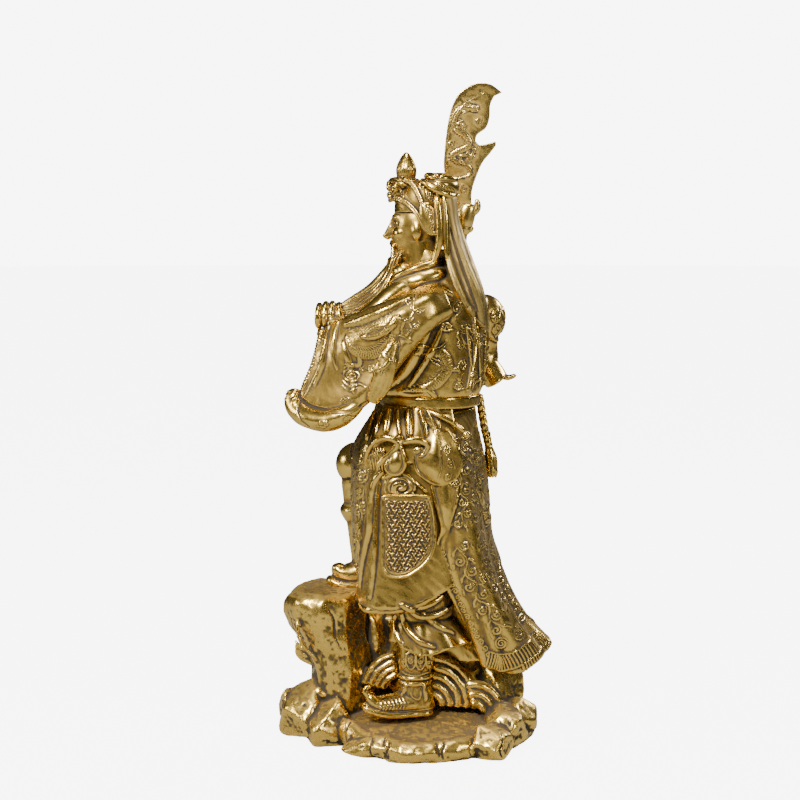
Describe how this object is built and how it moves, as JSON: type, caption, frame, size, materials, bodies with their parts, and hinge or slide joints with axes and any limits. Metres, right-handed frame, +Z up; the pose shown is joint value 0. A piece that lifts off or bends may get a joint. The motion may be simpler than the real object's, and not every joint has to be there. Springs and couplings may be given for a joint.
{
  "type": "guan yu statue",
  "caption": "Cast brass figure of a bearded general in robe and armour, foot on a rock base, a separate crescent-bladed glaive held in one fist; stands on a shelf or altar.",
  "frame": {"origin": "middle of the base's flat underside, below the figure", "axes": "+Z up, the figure steps towards -Y with its chest turned about 20 degrees towards -X, +X is its left side, which the picture shows"},
  "size_m": [0.1582, 0.1976, 0.4833],
  "materials": {
    "figure_on_rock": "polished high spots over brown antique patina",
    "glaive": "satin pale gold"
  },
  "bodies": {
    "root": {"figure_on_rock": "figure_on_rock", "glaive": "glaive"}
  },
  "joints": []
}
